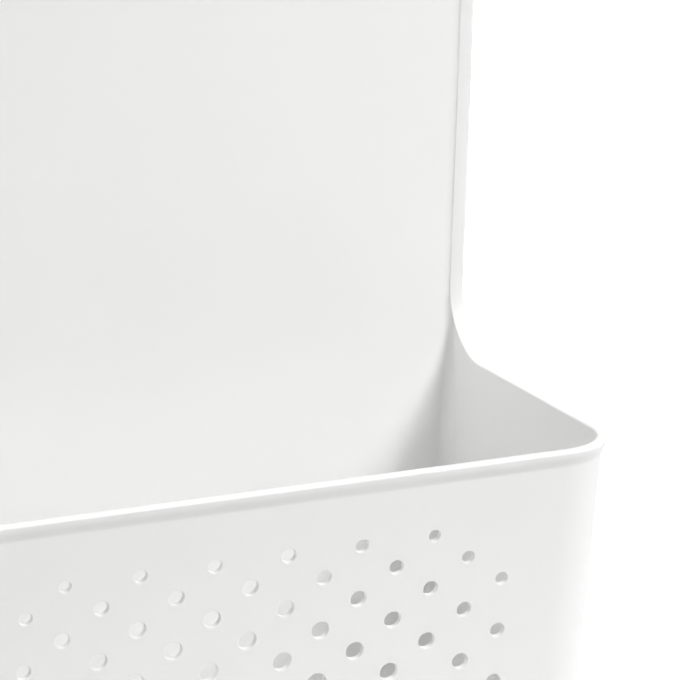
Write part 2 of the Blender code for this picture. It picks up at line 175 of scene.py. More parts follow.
class BasketSizes(bpy.types.PropertyGroup):
    """Sizes of the one-piece moulding."""

    rim_height: length("Rim height", "Height of the basket's rim over its floor", 0.160)
    panel_height: length("Panel height", "Height of the back panel's top edge", 0.345)
    basket_depth: length("Depth", "Depth of the basket at its rim", 0.1222)
    front_lean: turn("Front lean", "How far the front wall leans out", 8.96)
    wall: length("Wall", "Thickness of every wall", 0.0020)
    rim_half_width: length("Half width", "Half the width of the front wall at the rim", 0.1275)
    toe_in: length("Toe-in", "How far each side comes in towards the back", 0.0012)
    panel_step: length("Panel step", "How far the panel steps in over the rim", 0.0025)
    draft: number("Draft", "Inward slope of the side walls", 0.0148)
    flare: number("Flare", "Outward slope of the panel's edges", 0.0380)
    flare_height: length("Flare height", "Height over which the panel's edges slope out", 0.0940)
    flare_ease: length("Flare ease", "Half the height over which the slope dies away", 0.0200)
    front_radius: length("Front corner", "Radius of the upright front corners", 0.0200)
    rim_back_radius: length("Back corner", "Radius of the back corners at the rim", 0.0050)
    floor_back_radius: length("Back foot", "Radius of the back corners at the floor", 0.0140)
    panel_edge_radius: length("Panel edge", "Radius along the panel's edge", 0.0006)
    floor_radius: length("Floor edge", "Radius where walls and floor meet", 0.0080)
    panel_corner: length("Panel corner", "Radius of the panel's top corners", 0.0160)
    sweep_radius: length("Sweep", "Radius between side rim and panel", 0.0185)
    band_depth: length("Band", "How far the lip stands before the panel", 0.0012)
    band_tilt: length("Band tilt", "How much lower the lip's inner edge is on the panel", 0.0004)
    crease_width: length("Crease", "Width of the hollow between the panel and its band", 0.0024)
    blend_height: length("Blend", "Height over which basket turns into panel", 0.0250)
    round_height: length("Round blend", "Height over which the back corner tightens", 0.0125)
    lip_overhang: length("Lip", "How far the lip stands out round the basket", 0.0013)
    lip_overhang_panel: length("Band overhang", "How far the lip stands out on the panel", 0.0030)
    lip_drop: length("Lip height", "Height of the lip's face round the basket", 0.0062)
    lip_drop_panel: length("Panel lip", "Depth of the lip's face on the panel", 0.0024)
    lip_drop_inner: length("Inner lip", "Depth of the lip's inner face on the panel", 0.0006)
    lip_round: length("Lip round", "Radius of the lip's outer edge", 0.0012)
    lip_round_inner: length("Inner round", "Radius of the lip's inner edge", 0.0006)
    lip_lag: number("Lip lag", "How low the lip's face turns in: 1 for its middle", 1.25)


class HoleSizes(bpy.types.PropertyGroup):
    """Sizes of the graded holes in the front wall and of the keyholes."""

    pitch: length("Pitch", "Distance of neighbouring holes in a row", 0.0250)
    row_pitch: length("Row pitch", "Distance of the rows down the wall", 0.0092)
    first_row: length("First row", "Distance of the first row from the rim", 0.0238)
    diameter: length("Diameter", "Diameter of the middle holes", 0.0066)
    loss_side: length("Side loss", "How much smaller the outermost columns are", 0.0015)
    loss_end: length("End loss", "How much smaller the first and last rows are", 0.00175)
    edge: length("Edge", "Radius of every opening's edge", 0.00025)
    slot_radius: length("Slot", "Radius of a keyhole's slot", 0.0025)
    entry_radius: length("Entry", "Radius of a keyhole's entry", 0.0053)
    travel: length("Travel", "Distance from slot to entry", 0.0100)


class HookSizes(bpy.types.PropertyGroup):
    """Sizes of the bent straps and of the film under their linings."""

    thickness: length("Strap", "Thickness of the steel strap", 0.0015)
    bend: length("Bend", "Inner radius of the strap's bends", 0.0020)
    corner: length("Corner", "Radius of the strap's corners", 0.0060)
    edge: length("Edge", "Radius along the strap's edges", 0.00045)
    tab: length("Tab", "Length of the tab behind the door", 0.0320)
    kick: length("Kick", "Length of the kicked-out end", 0.0060)
    kick_angle: turn("Kick angle", "How far the tab's end is kicked out", 28)
    kick_bend: length("Kick bend", "Radius of the kick's bend", 0.0030)
    lining_gap: length("Film", "Adhesive film under each lining", 0.0003)


class StudSizes(bpy.types.PropertyGroup):
    """Sizes of the shouldered studs."""

    crown: number("Crown", "Share of the head's radius under its dome", 0.86)
    dome: length("Dome", "Height of the head's dome", 0.0007)
    rim: length("Rim", "Depth of the head's edge under the top of its dome", 0.0010)
    head: length("Head", "Height of the whole head", 0.0018)
    neck: length("Neck", "Radius of the neck in the keyhole", 0.0022)
    shank: length("Shank", "Radius of the shank in the strap", 0.0015)
    tail: length("Tail", "Radius of the tail at the strap", 0.0027)
    tail_end: length("Tail end", "Radius of the tail's outer edge", 0.0024)
    peen: length("Peen", "How far the tail stands behind the strap", 0.00022)
    soft_edge: length("Soft edge", "Radius of the head's edges and of the tail's rim", 0.0002)
    fine_edge: length("Fine edge", "Radius of the edges at the strap", 0.0001)


class FinishColours(bpy.types.PropertyGroup):
    """Colours of the five finishes and of the studio floor."""

    plastic: colour("Plastic", "Moulded white plastic", (0.875, 0.875, 0.868))
    steel: colour("Coated steel", "White powder coat", (0.80, 0.80, 0.79))
    zinc: colour("Zinc", "Zinc-plated studs", (0.62, 0.63, 0.65))
    foam: colour("Foam", "Closed-cell foam", (0.19, 0.19, 0.20))
    rubber: colour("Rubber", "Clear rubber bumpers", (0.84, 0.86, 0.85))
    floor: colour("Floor", "Studio floor", (0.70, 0.70, 0.70))


class StudioLevels(bpy.types.PropertyGroup):
    """Strengths of the studio's lights."""

    key: number("Key", "Power of the large lamp at the front right, in watts", 3.18)
    key_spread: turn("Key spread", "How wide the front right lamp throws its light", 42)
    left: number("Left", "Power of the soft lamp at the left, in watts", 14.5)
    right: number("Right", "Power of the soft lamp at the right, in watts", 5.0)
    top: number("Top", "Power of the soft lamp overhead, in watts", 0.38)
    top_spread: turn("Top spread", "How wide the lamp overhead throws its light", 30)
    rear: number("Rear", "Power of the large lamp behind, in watts", 26.0)
    sky: number("Sky", "Strength of the even light all round", 0.15)
    glow: number("Glow", "What the camera sees of the near floor's own white", 0.66)
    glow_near: length("Glow start", "Where the floor's white starts to rise to full", 0.35)
    glow_far: length("Glow end", "Where the floor's white is full", 1.20)


GROUPS = {
    "organizer_basket": BasketSizes,
    "organizer_holes": HoleSizes,
    "organizer_hooks": HookSizes,
    "organizer_studs": StudSizes,
    "organizer_colours": FinishColours,
    "organizer_studio": StudioLevels,
}


# Steps, turns and points


def even(steps):
    """Even shares from 0 to 1 in a number of steps."""
    return np.linspace(0, 1, steps + 1)


def full_turn(steps):
    """Even angles once round, without the last, which would repeat the first."""
    return 2 * math.pi * np.arange(steps) / steps


def points_of(*coordinates):
    """Points from their coordinates, which are spread to one shape."""
    return np.stack(np.broadcast_arrays(*coordinates), axis=-1)


def smooth_step(value):
    """Rise from 0 to 1: three times the square less twice the cube."""
    value = np.clip(value, 0.0, 1.0)
    return value * value * (3 - 2 * value)


# Plan of the basket


def front_half_width(size, z):
    """Half width at the front: the rim's, less the draft times the depth under the rim."""
    return size.rim_half_width - size.draft * (size.rim_height - np.minimum(z, size.rim_height))


def back_half_width(size, z):
    """Half width at the back: drafted under the rim, flared on the panel, blended between.

    The flare ends in a parabola, past which the panel's edges run straight up.
    """
    basket = front_half_width(size, z) - size.toe_in
    rise = z - size.rim_height - size.blend_height
    ease = np.clip(rise - size.flare_height + size.flare_ease, 0.0, 2 * size.flare_ease)
    flared = np.minimum(rise, size.flare_height + size.flare_ease) - ease**2 / (4 * size.flare_ease)
    panel = size.rim_half_width - size.panel_step + size.flare * flared
    return basket + (panel - basket) * smooth_step((z - size.rim_height) / size.blend_height)


def back_radius(size, z, grow):
    """Radius of the back corner: linear up to the rim, blended to the panel's edge radius."""
    low = size.floor_back_radius + (size.rim_back_radius - size.floor_back_radius) * z / size.rim_height
    step = smooth_step((z - size.rim_height) / size.round_height)
    rim = size.rim_back_radius + grow
    return np.where(z < size.rim_height, low + grow, rim + (size.panel_edge_radius - rim) * step)


def crease_stretch(size, z, grow, radius):
    """How far the back corner is stretched sideways: on the inside, and more up the sweep."""
    rise = smooth_step((z - size.rim_height) / size.sweep_radius)
    return np.where(np.asarray(grow) < 0, 1 + (size.crease_width / radius - 1) * rise, 1.0)


def back_y():
    """Place of the panel's back, which is the rearmost place of the moulding."""
    return BODY_BOX[1].y


def front_plane_y(size, z, grow):
    """Front wall: the rim's place, moved back by the lean, and out square to the wall."""
    rim = back_y() - size.basket_depth
    return rim + (size.rim_height - z) * math.tan(size.front_lean) - grow / math.cos(size.front_lean)


def side_slope(size, z):
    """Plan slope of a side wall: back less front half width, over the depth."""
    span = size.basket_depth - (size.rim_height - z) * math.tan(size.front_lean)
    return (back_half_width(size, z) - front_half_width(size, z)) / span


def side_x(size, y, z, grow):
    """Side wall: half width at the back, plus slope times the way from there, moved by grow."""
    slope = side_slope(size, z)
    return back_half_width(size, z) + grow * np.sqrt(1 + slope**2) + slope * (y - back_y())


def plan_arc(centre_x, centre_y, radius, start, end, part, z):
    """Arc in plan: centre plus radius times cosine and sine of an angle from start to end."""
    angle = start + (end - start) * part
    return points_of(centre_x + radius * np.cos(angle), centre_y + radius * np.sin(angle), z)


def front_corner(size, part, z, grow):
    """Front corner: an arc that touches the front wall and the side wall."""
    slope = side_slope(size, z)
    radius = size.front_radius + grow
    centre_y = front_plane_y(size, z, grow) + radius
    centre_x = side_x(size, centre_y, z, grow) - radius * np.sqrt(1 + slope**2)
    return plan_arc(centre_x, centre_y, radius, -QUARTER, -np.arctan(slope), part, z)


def back_corner(size, part, z, grow):
    """Back corner: an arc that touches the side wall and the panel's plane, then stretched."""
    slope = side_slope(size, z)
    radius = back_radius(size, z, grow)
    centre_y = back_y() + grow - radius
    centre_x = side_x(size, centre_y, z, grow) - radius * np.sqrt(1 + slope**2)
    arc = plan_arc(centre_x, centre_y, radius, -np.arctan(slope), QUARTER, part, z)
    first_x = centre_x + radius / np.sqrt(1 + slope**2)
    arc[..., 0] = first_x + (arc[..., 0] - first_x) * crease_stretch(size, z, grow, radius)
    return arc


def side_wall(size, part, z, grow):
    """Side wall: the straight way from the front arc's end to the back arc's start."""
    first = front_corner(size, 1.0, z, grow)
    last = back_corner(size, 0.0, z, grow)
    return first + (last - first) * np.asarray(part)[..., None]


# Rim line, sweep and band


def sweep_top(size):
    """Height at which the sweep ends and the lip runs straight up the panel."""
    return size.rim_height + size.sweep_radius


def band_y(size):
    """Front face of the lip on the panel, where it is a flat band."""
    return back_y() - size.wall - size.band_depth


def lip_depth(size, share, grow):
    """Depth of the lip's face: the rim's measure blended by the share into the panel's."""
    end = size.lip_drop_panel if grow == 0 else size.lip_drop_inner
    return size.lip_drop + (end - size.lip_drop) * smooth_step(share)


def sweep_line(size, drop, grow):
    """Side view of the sweep: a quarter circle round a centre before and over the rim.

    The radius grows by the share drop of the lip's depth.
    """
    share = even(SWEEP_STEPS)
    radius = size.sweep_radius + drop * lip_depth(size, share, grow)
    centre_y = band_y(size) - size.sweep_radius
    angle = QUARTER * share
    return centre_y + radius * np.sin(angle), sweep_top(size) - radius * np.cos(angle)


def side_columns(size, grow):
    """Shares along the side wall, and the top height, of every column up to the panel."""
    y, z = sweep_line(size, 1.0, grow)
    first = front_corner(size, 1.0, z, grow)[..., 1]
    last = back_corner(size, 0.0, z, grow)[..., 1]
    swept = (y - first) / (last - first)
    plain = np.linspace(0.0, swept[0], SIDE_STEPS + 1)[1:-1]
    level = np.full(len(plain), size.rim_height - size.lip_drop)
    return np.concatenate([plain, swept]), np.concatenate([level, z])


def basket_wall(size, grow):
    """Right half of the upright wall moved by grow.

    Columns run round the plan outline, from the front arc over the side to the
    back arc. Rows run up: the floor edge follows a quarter circle, whose sine
    shrinks the outline and whose cosine lowers it, and the wall rises evenly to
    each column's top.
    """
    shares, tops = side_columns(size, grow)
    parts = (even(FRONT_ARC_STEPS), shares, even(BACK_ARC_STEPS))
    tops = np.concatenate([
        np.full(len(parts[0]), size.rim_height - size.lip_drop),
        tops,
        np.full(len(parts[2]), sweep_top(size)),
    ])
    angle = QUARTER * even(FILLET_STEPS)[:, None]
    radius = size.floor_radius + grow
    climb = even(WALL_STEPS)[1:, None]
    z = np.vstack([
        size.floor_radius - radius * np.cos(angle) + 0 * tops,
        size.floor_radius + (tops - size.floor_radius) * climb,
    ])
    grown = grow - np.vstack([radius * (1 - np.sin(angle)), 0 * climb]) + 0 * z
    split = np.cumsum([len(part) for part in parts[:2]])
    columns = (np.split(rows, split, axis=1) for rows in (z, grown))
    makers = (front_corner, side_wall, back_corner)
    return np.concatenate([
        make(size, np.broadcast_to(part, level.shape), level, out)
        for make, part, level, out in zip(makers, parts, *columns)
    ], axis=1)


def panel_stations(size):
    """Stations up the panel's edge: height, turn round the corner and share along the top."""
    start = size.panel_height - size.panel_corner
    blend_top = size.rim_height + size.blend_height
    blend = np.linspace(sweep_top(size), blend_top, BLEND_STEPS + 1)
    straight = np.linspace(blend_top, start, PANEL_STEPS + 1)[1:]
    height = np.concatenate([
        blend, straight, np.full(PANEL_ARC_STEPS + PANEL_TOP_STEPS, start)
    ])
    angle = np.concatenate([
        np.zeros(len(blend) + len(straight)),
        QUARTER * even(PANEL_ARC_STEPS)[1:],
        np.full(PANEL_TOP_STEPS, QUARTER),
    ])
    along = np.zeros_like(height)
    along[-PANEL_TOP_STEPS:] = even(PANEL_TOP_STEPS)[1:]
    return height, angle, along


def carry(size, outward, y):
    """Carry a profile of (outward, y) up the panel's edge, round its corner and along its top.

    The outward distance is added to the corner's radius, and the sum is laid
    off along the cosine and sine of the station's turn.
    """
    height, angle, along = (item[:, None] for item in panel_stations(size))
    width = back_half_width(size, height + size.panel_corner * np.sin(angle))
    reach = size.panel_corner + outward
    x = (width - size.panel_corner) * (1 - along) + reach * np.cos(angle)
    return points_of(x, y, height + reach * np.sin(angle))


def panel_slopes(size):
    """Height and plan slope at each station of the panel's edge."""
    height, angle, _ = panel_stations(size)
    level = height + size.panel_corner * np.sin(angle)
    return level[:, None], (side_slope(size, level) * np.cos(angle))[:, None]


def panel_edge(size, grow):
    """Edge of the panel, from under the lip round a stretched arc to the panel's plane."""
    level, slope = panel_slopes(size)
    radius = back_radius(size, level, grow)
    stretch = np.sqrt(1 + slope**2)
    under_y = band_y(size) + lip_depth(size, 1.0, grow) + 0 * level
    under = grow * stretch + slope * (under_y - back_y())
    part = even(BACK_ARC_STEPS)
    angle = -np.arctan(slope) + (QUARTER + np.arctan(slope)) * part
    middle = (grow - radius) * (slope + stretch)
    outward = middle + radius * np.cos(angle)
    outward = outward[:, :1] + (outward - outward[:, :1]) * crease_stretch(size, level, grow, radius)
    y = back_y() + grow - radius + radius * np.sin(angle)
    return carry(size, np.hstack([under, outward]), np.hstack([under_y, y]))


def rim_line(size, grow, drop):
    """Points of the whole rim at the share drop of the lip's height under its top.

    The line runs from the middle of the front round the corner, along the side,
    up the sweep and the panel's edge, and along the panel's top to its middle.
    """
    z = size.rim_height - size.lip_drop * drop
    middle = np.array([[0.0, front_plane_y(size, z, grow), z]])
    corner = front_corner(size, even(FRONT_ARC_STEPS), z, grow)
    plain = side_wall(size, side_columns(size, grow)[0][: SIDE_STEPS - 1], z, grow)
    sweep_y, sweep_z = sweep_line(size, drop, grow)
    swept = points_of(side_x(size, sweep_y, sweep_z, grow), sweep_y, sweep_z)
    level, slope = panel_slopes(size)
    y = band_y(size) + lip_depth(size, 1.0, grow) * drop + 0 * level
    outward = grow * np.sqrt(1 + slope**2) + slope * (y - back_y())
    return np.concatenate([middle, corner, plain, swept, carry(size, outward, y)[1:, 0]])


def lip_strip(size):
    """Lip round the whole rim: a profile carried along the rim line.

    A profile point goes down by its depth on the wall, and out by its reach in
    walls' thicknesses, along the way from the inner to the outer wall. The
    lip's top is flat on the basket and tilts in by a parabola on the panel. Its
    face turns in to the wall by an S of three times the square less twice the
    cube.
    """
    top_out, top_in = rim_line(size, 0.0, 0.0), rim_line(size, -size.wall, 0.0)
    low_out, low_in = rim_line(size, 0.0, 1.0), rim_line(size, -size.wall, 1.0)
    after = len(panel_slopes(size)[0]) - 1
    before = len(top_out) - after - SWEEP_STEPS - 1
    share = np.concatenate([np.zeros(before), even(SWEEP_STEPS), np.ones(after)])
    depth = lip_depth(size, share, 0.0)[:, None]
    depth_in = lip_depth(size, share, -size.wall)[:, None]
    blend = smooth_step(share)[:, None]
    reach = size.lip_overhang + (size.lip_overhang_panel - size.lip_overhang) * blend
    tilt = size.band_tilt * blend
    inner = np.minimum(size.lip_round_inner, depth_in - tilt)
    bend = QUARTER * even(LIP_STEPS)
    part = even(LIP_STEPS)
    top_start = inner - size.wall
    top_end = reach - size.lip_round
    out = np.hstack([
        0 * reach - size.wall,
        inner * (1 - np.cos(bend)) - size.wall,
        top_start + (top_end - top_start) * part[1:-1],
        top_end + size.lip_round * np.sin(bend),
        reach * (1 - smooth_step(part[1:] ** size.lip_lag)),
    ])
    down = np.hstack([
        depth_in,
        tilt + inner * (1 - np.sin(bend)),
        tilt * (1 - part[1:-1]) ** 2,
        0 * reach + size.lip_round * (1 - np.cos(bend)),
        size.lip_round + (depth - size.lip_round) * part[1:],
    ])
    wall_out = top_out[:, None] + (down / depth)[..., None] * (low_out - top_out)[:, None]
    wall_in = top_in[:, None] + (down / depth_in)[..., None] * (low_in - top_in)[:, None]
    return wall_out + (out / size.wall)[..., None] * (wall_out - wall_in)


# Openings


def hole_rings(size, holes):
    """Rings of every hole: centre plus spokes times radius, and the depth along the wall.

    Holes stand in staggered rows. Their radius falls with the square of the
    way from the pattern's middle, and both edges are rounded.
    """
    last = HOLE_ROWS - 1
    rows = np.arange(HOLE_ROWS)[:, None]
    columns = np.arange(-HALF_COLUMNS, HALF_COLUMNS + 1)[None, :]
    reach = np.where(rows % last == 0, HALF_COLUMNS - 2, HALF_COLUMNS - rows % 2)
    kept = (np.abs(columns) <= reach) & ((columns - reach) % 2 == 0)
    row, column = (item[kept] for item in np.broadcast_arrays(rows, columns))
    loss = holes.loss_side * (column / HALF_COLUMNS) ** 2
    diameter = holes.diameter - loss - holes.loss_end * (2 * row / last - 1) ** 2
    across = np.array([1.0, 0.0, 0.0])
    down = np.array([0.0, math.sin(size.front_lean), -math.cos(size.front_lean)])
    inward = np.cross(across, down)
    start = np.array([0.0, front_plane_y(size, size.rim_height, 0.0), size.rim_height])
    way = holes.first_row + holes.row_pitch * row
    centre = start + (column * holes.pitch / 2)[:, None] * across + way[:, None] * down
    spin = full_turn(HOLE_STEPS)
    spoke = np.cos(spin)[:, None] * across + np.sin(spin)[:, None] * down
    swell, depth = wall_profile(size.wall, holes.edge)
    radius = diameter[:, None] / 2 + swell
    ring = centre[:, None, None] + radius[:, :, None, None] * spoke
    return ring + depth[:, None, None] * inward


def wall_profile(wall, edge):
    """Profile through a wall: an opening's growth and depth, rounded at both faces."""
    bend = QUARTER * even(HOLE_EDGE_STEPS)
    growth = edge * (1 - np.sin(bend))
    depth = edge * (1 - np.cos(bend))
    return np.concatenate([growth, growth[::-1]]), np.concatenate([depth, wall - depth[::-1]])


def keyhole_rings(size, holes, stud):
    """Rings of one keyhole: a half circle over the slot and the rest of a circle under it."""
    swell, depth = wall_profile(size.wall, holes.edge)
    slot = (holes.slot_radius + swell)[:, None]
    entry = (holes.entry_radius + swell)[:, None]
    meet = np.arcsin(slot / entry)
    top = math.pi * even(KEYHOLE_STEPS)
    low = QUARTER + meet + (2 * math.pi - 2 * meet) * even(3 * KEYHOLE_STEPS)
    across = np.hstack([slot * np.cos(top), entry * np.cos(low)])
    up = np.hstack([slot * np.sin(top), entry * np.sin(low) - holes.travel])
    y = back_y() - size.wall + depth[:, None]
    return points_of(stud.x + across, y, stud.z + up)


# Mesh from surfaces


class Patches:
    """Collects surfaces, and welds them into one mesh."""

    def __init__(self):
        self.points = []
        self.faces = []
        self.count = 0

    def add(self, points, faces):
        """Add points and faces that count them."""
        self.points.append(np.asarray(points, float).reshape(-1, 3))
        self.faces += [tuple(face) for face in (np.asarray(faces) + self.count).tolist()]
        self.count += len(self.points[-1])

    def grid(self, grid, closed=False):
        """Add a grid of points as quads; closed joins its last column to its first."""
        rows, columns = grid.shape[:2]
        index = np.arange(rows * columns).reshape(rows, columns)
        if closed:
            index = np.hstack([index, index[:, :1]])
        low, high = index[:-1], index[1:]
        quads = np.stack([low[:, :-1], low[:, 1:], high[:, 1:], high[:, :-1]], axis=-1)
        self.add(grid, quads.reshape(-1, 4))

    def both(self, grid):
        """Add a grid and its mirror image."""
        self.grid(grid)
        self.grid(grid[:, ::-1] * MIRROR)

    def cap(self, ring):
        """Add one flat face on a ring."""
        self.add(ring, [np.arange(len(ring))])

    def fill(self, border, loops):
        """Add a flat surface inside a border and outside the loops, seen from the front."""
        lines = [border, *loops]
        flat = [[Vector((x, z, 0)) for x, _, z in line] for line in lines]
        self.add(np.concatenate(lines), tessellate_polygon(flat))

    def mesh(self, name, closed=True):
        """Weld the surfaces and turn them outwards."""
        mesh = bpy.data.meshes.new(name)
        mesh.from_pydata(np.concatenate(self.points).tolist(), [], self.faces)
        work = bmesh.new()
        work.from_mesh(mesh)
        bmesh.ops.remove_doubles(work, verts=work.verts, dist=WELD_DISTANCE)
        bmesh.ops.dissolve_degenerate(work, edges=work.edges, dist=WELD_DISTANCE)
        bmesh.ops.recalc_face_normals(work, faces=work.faces)
        open_edges = sum(not edge.is_manifold for edge in work.edges)
        if closed and open_edges:
            raise RuntimeError(f"{name} has {open_edges} open edges")
        if work.calc_volume(signed=True) < 0:
            bmesh.ops.reverse_faces(work, faces=work.faces)
        for face in work.faces:
            face.smooth = True
        for edge in work.edges:
            edge.smooth = edge.calc_face_angle(0.0) < SHARP_ANGLE
        work.to_mesh(mesh)
        work.free()
        return mesh


def tube_mesh(name, grid, caps=(), closed=True):
    """Mesh of a grid whose last column joins its first, with flat caps on rings."""
    patches = Patches()
    patches.grid(grid, closed=True)
    for ring in caps:
        patches.cap(ring)
    return patches.mesh(name, closed)


def add_piece(name, mesh, material, body, node):
    """Put a piece into the scene, on its body, in place of its CAD node."""
    if name in bpy.data.objects:
        bpy.data.objects.remove(bpy.data.objects[name], do_unlink=True)
    piece = bpy.data.objects.new(name, mesh)
    bpy.context.scene.collection.objects.link(piece)
    mesh.materials.clear()
    mesh.materials.append(material)
    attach(piece, body)
    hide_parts(node)
    weigh = piece.modifiers.new("Even shading", "WEIGHTED_NORMAL")
    weigh.keep_sharp = True
    weigh.weight = FACE_WEIGHT
    return piece


# Finishes


def set_inputs(tree, node, inputs):
    """Give each named input of a node a socket's link or a plain value."""
    for name, value in inputs.items():
        if isinstance(value, bpy.types.NodeSocket):
            tree.links.new(value, node.inputs[name])
        else:
            node.inputs[name].default_value = value
    return node


def add_node(tree, kind, inputs, **settings):
    """Add a shader node with its settings and inputs."""
    node = tree.nodes.new("ShaderNode" + kind)
    for name, value in settings.items():
        setattr(node, name, value)
    return set_inputs(tree, node, inputs)


def new_material(name, base, roughness, metallic=0.0):
    """A material with one principled shader, and its node tree for more."""
    if name in bpy.data.materials:
        bpy.data.materials.remove(bpy.data.materials[name])
    material = bpy.data.materials.new(name)
    material.use_nodes = True
    tree = material.node_tree
    plain = {"Base Color": (*base, 1.0), "Roughness": roughness, "Metallic": metallic}
    return material, tree, set_inputs(tree, tree.nodes["Principled BSDF"], plain)


def own_place(tree):
    """The piece's own coordinates, which its patterns read."""
    return add_node(tree, "TexCoord", {}).outputs["Object"]


def noise(tree, scale, detail):
    """Noise over the piece's own coordinates."""
    inputs = {"Scale": scale, "Detail": detail, "Vector": own_place(tree)}
    return add_node(tree, "TexNoise", inputs).outputs["Fac"]


def tint(tree, shader, tone, pattern, stops):
    """Base colour: at each stop (place, factor) of the pattern, the tone times the factor."""
    node = add_node(tree, "ValToRGB", {"Fac": pattern})
    elements = node.color_ramp.elements
    while len(elements) < len(stops):
        elements.new(stops[len(elements)][0])
    for element, (place, factor) in zip(elements, stops):
        element.position = place
        element.color = (*(min(channel * factor, 1.0) for channel in tone), 1.0)
    tree.links.new(node.outputs["Color"], shader.inputs["Base Color"])


def vary_gloss(tree, shader, scale, detail, low, high):
    """Roughness: the middle of a noise's range spread from low to high."""
    start, end = NOISE_RANGE
    inputs = {"From Min": start, "From Max": end, "To Min": low, "To Max": high}
    spread = add_node(tree, "MapRange", {"Value": noise(tree, scale, detail), **inputs})
    tree.links.new(spread.outputs["Result"], shader.inputs["Roughness"])


def relief(tree, shader, bumps):
    """Stack bumps of (height, distance in metres, strength) onto a shader."""
    inputs = {}
    for height, distance, strength in bumps:
        inputs.update({"Height": height, "Distance": distance, "Strength": strength})
        inputs["Normal"] = add_node(tree, "Bump", inputs).outputs["Normal"]
    tree.links.new(inputs["Normal"], shader.inputs["Normal"])


def plastic_finish(tone):
    """Moulded plastic: a very fine matt grain, faint flow marks and uneven gloss."""
    material, tree, shader = new_material("moulded_white_plastic", tone, 0.42)
    flow = noise(tree, scale=9.0, detail=2.0)
    grain = noise(tree, scale=1900.0, detail=2.0)
    tint(tree, shader, tone, flow, [(0.3, 0.992), (0.7, 1.004)])
    vary_gloss(tree, shader, scale=45.0, detail=4.0, low=0.38, high=0.46)
    set_inputs(tree, shader, {"IOR": 1.49, "Specular IOR Level": 0.42})
    relief(tree, shader, [(flow, 0.0006, 0.10), (grain, 0.000012, 0.35)])
    return material


def coated_steel_finish(tone):
    """Powder coat: soft orange peel over steel, with a low sheen."""
    material, tree, shader = new_material("white_powder_coat", tone, 0.36)
    peel = noise(tree, scale=700.0, detail=1.0)
    grain = noise(tree, scale=4200.0, detail=2.0)
    tint(tree, shader, tone, noise(tree, scale=160.0, detail=3.0), [(0.35, 0.975), (0.65, 1.01)])
    vary_gloss(tree, shader, scale=420.0, detail=2.0, low=0.30, high=0.42)
    relief(tree, shader, [(peel, 0.00008, 0.5), (grain, 0.00001, 0.4)])
    return material


def zinc_finish(tone):
    """Turned and zinc-plated steel: fine rings round the axis and cloudy plating."""
    material, tree, shader = new_material("bright_zinc", tone, 0.28, metallic=1.0)
    tint(tree, shader, tone, noise(tree, scale=900.0, detail=3.0), [(0.3, 0.94), (0.7, 1.04)])
    vary_gloss(tree, shader, scale=1500.0, detail=3.0, low=0.20, high=0.36)
    radius = add_node(tree, "Attribute", {}, attribute_name=TURNED_RADIUS).outputs["Fac"]
    inputs = {"Scale": 5200.0, "Detail": 1.0, "W": radius}
    rings = add_node(tree, "TexNoise", inputs, noise_dimensions="1D")
    relief(tree, shader, [(rings.outputs["Fac"], 0.00003, 0.35)])
    return material


def foam_finish(tone):
    """Closed-cell foam: small round cells and a dull skin, with painted shade in the cells' pits."""
    material, tree, shader = new_material("closed_cell_foam", tone, 0.93)
    inputs = {"Scale": 1700.0, "Vector": own_place(tree)}
    cell_relief_and_shade = add_node(tree, "TexVoronoi", inputs).outputs["Distance"]
    swell = noise(tree, scale=240.0, detail=2.0)
    # The cells' tint is painted shade: darkest in the pits that the bump sinks, lightest on the ridges
    # between them
    tint(tree, shader, tone, cell_relief_and_shade, [(0.05, 0.62), (0.30, 0.95), (0.75, 1.18)])
    vary_gloss(tree, shader, scale=300.0, detail=2.0, low=0.88, high=0.98)
    set_inputs(tree, shader, {"Specular IOR Level": 0.2})
    relief(tree, shader, [(cell_relief_and_shade, 0.00022, 0.7), (swell, 0.0003, 0.3)])
    return material


def rubber_finish(tone):
    """Clear rubber: milky and soft, with a faint haze on its skin."""
    material, tree, shader = new_material("clear_rubber", tone, 0.30)
    haze = noise(tree, scale=1100.0, detail=2.0)
    tint(tree, shader, tone, noise(tree, scale=260.0, detail=3.0), [(0.3, 0.94), (0.7, 1.03)])
    vary_gloss(tree, shader, scale=500.0, detail=3.0, low=0.22, high=0.38)
    set_inputs(tree, shader, {"Transmission Weight": 0.08, "IOR": 1.47})
    relief(tree, shader, [(haze, 0.00002, 0.4)])
    return material


# Pieces


def node_middle(node):
    """Middle of a CAD node's box."""
    low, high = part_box(node)
    return (low + high) / 2


def with_middle(point):
    """The point over x = 0 of a row that ends at the given point."""
    return point * np.array([0.0, 1.0, 1.0])


def closed_border(line):
    """Close a line from middle to middle: its points, then their mirror images back again."""
    line = np.array(line)
    return np.concatenate([line, (line[::-1] * MIRROR)[1:-1]])


def basket_mesh(size, holes):
    """The moulding: outer and inner walls, lip, panel, floor and openings in one closed mesh."""
    patches = Patches()
    rings = hole_rings(size, holes)
    studs = [node_middle(f"{side}_{level}_stud") for side in SIDES for level in STUD_LEVELS]
    keyholes = [keyhole_rings(size, holes, stud) for stud in studs]
    for ring in [*rings, *keyholes]:
        patches.grid(ring, closed=True)
    patches.both(lip_strip(size))
    for grow, face in ((0.0, 0), (-size.wall, -1)):
        wall, edge = basket_wall(size, grow), panel_edge(size, grow)
        patches.both(wall)
        patches.both(edge)
        add_floor(patches, wall[: FILLET_STEPS + 1])
        front = wall[FILLET_STEPS:, 0]
        border = closed_border([with_middle(front[0]), *front, with_middle(front[-1])])
        patches.fill(border, [ring[face] for ring in rings])
        back = np.concatenate([wall[FILLET_STEPS:, -1], edge[1:, -1]])
        border = closed_border([with_middle(back[0]), *back])
        patches.fill(border, [ring[-1 - face] for ring in keyholes])
    return patches.mesh("moulded_basket")


def add_floor(patches, foot):
    """Floor, and the rounded edges under the front wall and under the panel."""
    for column in (foot[:, 0], foot[:, -1]):
        patches.both(np.stack([with_middle(column), column], axis=1))
    low = foot[0]
    patches.cap(closed_border([with_middle(low[0]), *low, with_middle(low[-1])]))


